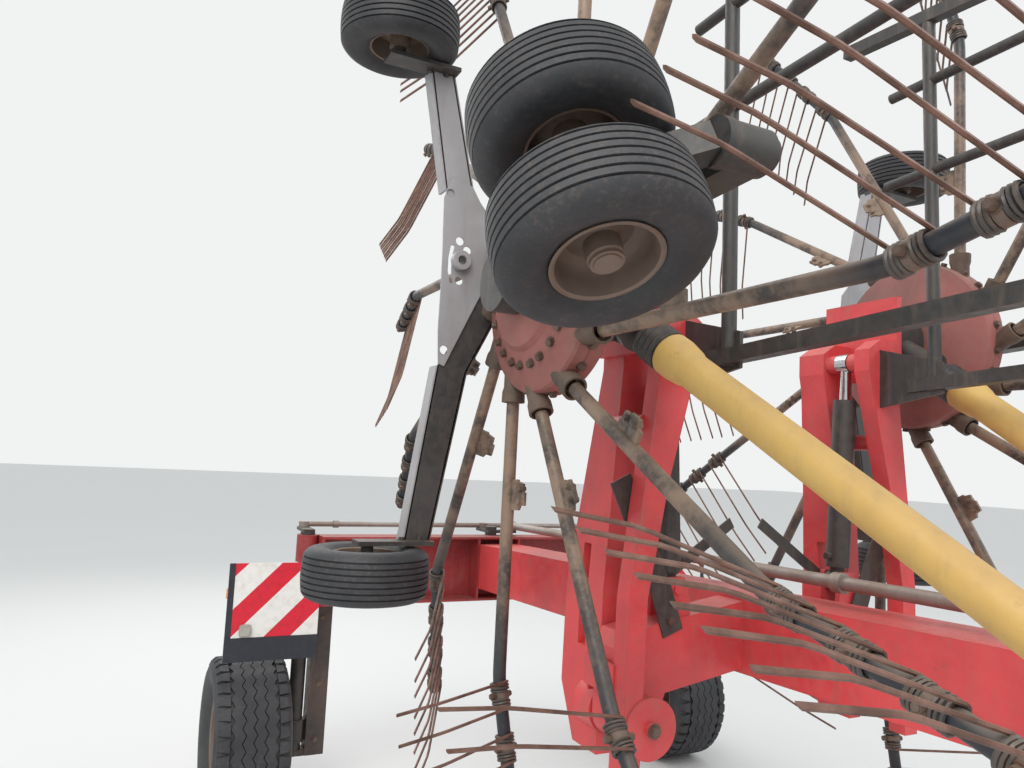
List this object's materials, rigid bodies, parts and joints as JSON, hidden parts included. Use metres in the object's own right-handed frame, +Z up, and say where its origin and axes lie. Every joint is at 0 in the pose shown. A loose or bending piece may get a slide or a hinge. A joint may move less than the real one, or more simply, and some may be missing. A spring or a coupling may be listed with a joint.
{
  "type": "folded twin rotor rake",
  "caption": "Trailed hay rake with its tined rotors folded upright beside a box beam, on a steered transport axle, a headstock and a parking stand.",
  "frame": {"origin": "on the ground under the middle of the machine's outline", "axes": "+Y forward to the headstock, +X to the machine's right, +Z up"},
  "size_m": [3, 5.44, 4.1278],
  "materials": {
    "red_paint": "faded gloss red paint with dust and rust on the edges",
    "dark_red_paint": "dark red paint under dust",
    "faded_red_paint": "pale dusty red paint, worn at the bolts",
    "dark_grey_paint": "dark grey paint with brown dust",
    "black_paint": "black paint, rubbed and dusty",
    "arm_steel": "dark tube paint, brown with dust near the head",
    "tine_steel": "brown weathered spring steel",
    "galvanised": "dull galvanised steel",
    "chromed_rod": "bright rod",
    "yellow_guard": "faded yellow plastic with dust",
    "tyre_rubber": "black rubber, dusty in the grooves",
    "rim_paint": "rusty grey-brown rim",
    "board_white": "white board with red slanted stripes",
    "lamp_plastic": "clear and amber lamp plastic"
  },
  "bodies": {
    "chassis": {"main_beam": "red_paint", "cross_yoke": "red_paint", "rear_axle": "dark_red_paint", "front_gearbox": "dark_grey_paint", "warning_boards": "board_white", "board_lamps": "lamp_plastic", "transport_locks": "black_paint"},
    "track_rod": {"track_rod": "galvanised"},
    "steering_crank": {"steering_crank": "black_paint"},
    "push_rod": {"push_rod": "galvanised"},
    "headstock": {"headstock": "red_paint"},
    "parking_stand": {"parking_stand": "galvanised"},
    "right_knuckle": {"right_knuckle": "black_paint"},
    "right_wheel": {"right_tyre": "tyre_rubber", "right_rim": "rim_paint"},
    "right_arm": {"right_fold_arm": "red_paint", "right_rotor_gearbox": "dark_grey_paint", "right_carriage": "dark_grey_paint", "right_guard_frame": "dark_grey_paint"},
    "right_rotor": {"right_rotor_head": "faded_red_paint", "right_tine_arms": "arm_steel", "right_tines": "tine_steel"},
    "right_upper_wheel": {"right_upper_tyre": "tyre_rubber", "right_upper_rim": "rim_paint"},
    "right_lower_wheel": {"right_lower_tyre": "tyre_rubber", "right_lower_rim": "rim_paint"},
    "right_castor": {"right_castor": "dark_grey_paint"},
    "right_front_wheels": {"right_front_tyres": "tyre_rubber", "right_front_rims": "rim_paint"},
    "right_cylinder_barrel": {"right_cylinder_barrel": "black_paint"},
    "right_cylinder_rod": {"right_cylinder_rod": "chromed_rod"},
    "right_drive_shaft": {"right_drive_shaft": "yellow_guard"},
    "left_knuckle": {"left_knuckle": "black_paint"},
    "left_wheel": {"left_tyre": "tyre_rubber", "left_rim": "rim_paint"},
    "left_arm": {"left_fold_arm": "red_paint", "left_rotor_gearbox": "dark_grey_paint", "left_carriage": "dark_grey_paint", "left_guard_frame": "dark_grey_paint"},
    "left_rotor": {"left_rotor_head": "faded_red_paint", "left_tine_arms": "arm_steel", "left_tines": "tine_steel"},
    "left_upper_wheel": {"left_upper_tyre": "tyre_rubber", "left_upper_rim": "rim_paint"},
    "left_lower_wheel": {"left_lower_tyre": "tyre_rubber", "left_lower_rim": "rim_paint"},
    "left_castor": {"left_castor": "dark_grey_paint"},
    "left_front_wheels": {"left_front_tyres": "tyre_rubber", "left_front_rims": "rim_paint"},
    "left_cylinder_barrel": {"left_cylinder_barrel": "black_paint"},
    "left_cylinder_rod": {"left_cylinder_rod": "chromed_rod"},
    "left_drive_shaft": {"left_drive_shaft": "yellow_guard"}
  },
  "joints": [
    {"name": "right_steering", "type": "hinge", "parent": "chassis", "child": "right_knuckle", "pos_m": [1.07, -2.335, 0.385], "axis": [0, 0, 1], "range_deg": [-22, 22]},
    {"name": "left_steering", "type": "hinge", "parent": "chassis", "child": "left_knuckle", "pos_m": [-1.07, -2.335, 0.385], "axis": [0, 0, 1], "range_deg": [-22, 22]},
    {"name": "crank_turn", "type": "hinge", "parent": "chassis", "child": "steering_crank", "pos_m": [0, -2.335, 1.4], "axis": [0, 0, 1], "range_deg": [-22, 22]},
    {"name": "track_rod_shift", "type": "slide", "parent": "chassis", "child": "track_rod", "axis": [1, 0, 0], "range_m": [-0.0462, 0.0462]},
    {"name": "push_rod_shift", "type": "slide", "parent": "chassis", "child": "push_rod", "axis": [0.0398, 0.9992, 0], "range_m": [-0.0501, 0.0501]},
    {"name": "headstock_pivot", "type": "hinge", "parent": "chassis", "child": "headstock", "pos_m": [0, 2.465, 0.86], "axis": [0, 0, 1], "range_deg": [-53, 53]},
    {"name": "stand_swing", "type": "hinge", "parent": "chassis", "child": "parking_stand", "pos_m": [0.19, 1.965, 1.15], "axis": [-1, 0, 0], "range_deg": [0, 90]},
    {"name": "right_wheel_spin", "type": "hinge", "parent": "right_knuckle", "child": "right_wheel", "pos_m": [1.32, -2.335, 0.385], "axis": [1, 0, 0], "continuous": true},
    {"name": "right_fold", "type": "hinge", "parent": "chassis", "child": "right_arm", "pos_m": [0.535, -0.154, 1.066], "axis": [0, 1, 0], "range_deg": [0, 90]},
    {"name": "right_rotor_spin", "type": "hinge", "parent": "right_arm", "child": "right_rotor", "pos_m": [0.867, -0.18, 2.362], "axis": [1, 0, 0], "continuous": true},
    {"name": "right_upper_wheel_spin", "type": "hinge", "parent": "right_arm", "child": "right_upper_wheel", "pos_m": [1.262, -0.556, 3.26], "axis": [0, 0, 1], "continuous": true},
    {"name": "right_lower_wheel_spin", "type": "hinge", "parent": "right_arm", "child": "right_lower_wheel", "pos_m": [1.262, -0.556, 1.45], "axis": [0, 0, 1], "continuous": true},
    {"name": "right_castor_swivel", "type": "hinge", "parent": "right_arm", "child": "right_castor", "pos_m": [1.04, 0.83, 2.425], "axis": [1, 0, 0], "range_deg": [-55.4, 0]},
    {"name": "right_front_wheels_spin", "type": "hinge", "parent": "right_castor", "child": "right_front_wheels", "pos_m": [1.262, 0.69657, 2.35495], "axis": [0, -0.4648, 0.8854], "continuous": true},
    {"name": "right_cylinder_swing", "type": "hinge", "parent": "chassis", "child": "right_cylinder_barrel", "pos_m": [0.38, -0.154, 1.45], "axis": [0, 1, 0], "range_deg": [0, 98.6]},
    {"name": "right_cylinder_stroke", "type": "slide", "parent": "right_cylinder_barrel", "child": "right_cylinder_rod", "axis": [0.0499, 0, 0.9988], "range_m": [0, 0.5653]},
    {"name": "right_drive_shaft_swing", "type": "hinge", "parent": "right_arm", "child": "right_drive_shaft", "pos_m": [0.645, 0.10254, 2.182], "axis": [-0.0447, -0.5543, -0.8311], "range_deg": [0, 10.57]},
    {"name": "left_wheel_spin", "type": "hinge", "parent": "left_knuckle", "child": "left_wheel", "pos_m": [-1.32, -2.335, 0.385], "axis": [1, 0, 0], "continuous": true},
    {"name": "left_fold", "type": "hinge", "parent": "chassis", "child": "left_arm", "pos_m": [-0.535, -0.154, 1.066], "axis": [0, -1, 0], "range_deg": [0, 90]},
    {"name": "left_rotor_spin", "type": "hinge", "parent": "left_arm", "child": "left_rotor", "pos_m": [-0.867, -0.18, 2.362], "axis": [1, 0, 0], "continuous": true},
    {"name": "left_upper_wheel_spin", "type": "hinge", "parent": "left_arm", "child": "left_upper_wheel", "pos_m": [-1.262, -0.556, 3.26], "axis": [0, 0, 1], "continuous": true},
    {"name": "left_lower_wheel_spin", "type": "hinge", "parent": "left_arm", "child": "left_lower_wheel", "pos_m": [-1.262, -0.556, 1.45], "axis": [0, 0, 1], "continuous": true},
    {"name": "left_castor_swivel", "type": "hinge", "parent": "left_arm", "child": "left_castor", "pos_m": [-1.04, 0.83, 2.425], "axis": [1, 0, 0], "range_deg": [-55.4, 0]},
    {"name": "left_front_wheels_spin", "type": "hinge", "parent": "left_castor", "child": "left_front_wheels", "pos_m": [-1.262, 0.69657, 2.35495], "axis": [0, -0.4648, 0.8854], "continuous": true},
    {"name": "left_cylinder_swing", "type": "hinge", "parent": "chassis", "child": "left_cylinder_barrel", "pos_m": [-0.38, -0.154, 1.45], "axis": [0, -1, 0], "range_deg": [0, 98.6]},
    {"name": "left_cylinder_stroke", "type": "slide", "parent": "left_cylinder_barrel", "child": "left_cylinder_rod", "axis": [-0.0499, 0, 0.9988], "range_m": [0, 0.5653]},
    {"name": "left_drive_shaft_swing", "type": "hinge", "parent": "left_arm", "child": "left_drive_shaft", "pos_m": [-0.645, 0.10254, 2.182], "axis": [-0.0447, 0.5543, 0.8311], "range_deg": [0, 10.57]}
  ],
  "couplings": [
    {"joint": "left_steering", "follows": "right_steering", "ratio": 1},
    {"joint": "crank_turn", "follows": "right_steering", "ratio": 1},
    {"joint": "track_rod_shift", "follows": "right_steering", "m_per_rad": 0.12},
    {"joint": "push_rod_shift", "follows": "right_steering", "m_per_rad": -0.13},
    {"joint": "headstock_pivot", "follows": "right_steering", "ratio": -2.4},
    {"joint": "right_cylinder_swing", "follows": "right_fold", "ratio": 1.0944},
    {"joint": "right_cylinder_stroke", "follows": "right_fold", "m_per_rad": 0.35953},
    {"joint": "right_drive_shaft_swing", "follows": "right_fold", "ratio": 0.11693},
    {"joint": "left_cylinder_swing", "follows": "left_fold", "ratio": 1.0944},
    {"joint": "left_cylinder_stroke", "follows": "left_fold", "m_per_rad": 0.35953},
    {"joint": "left_drive_shaft_swing", "follows": "left_fold", "ratio": 0.11693}
  ]
}
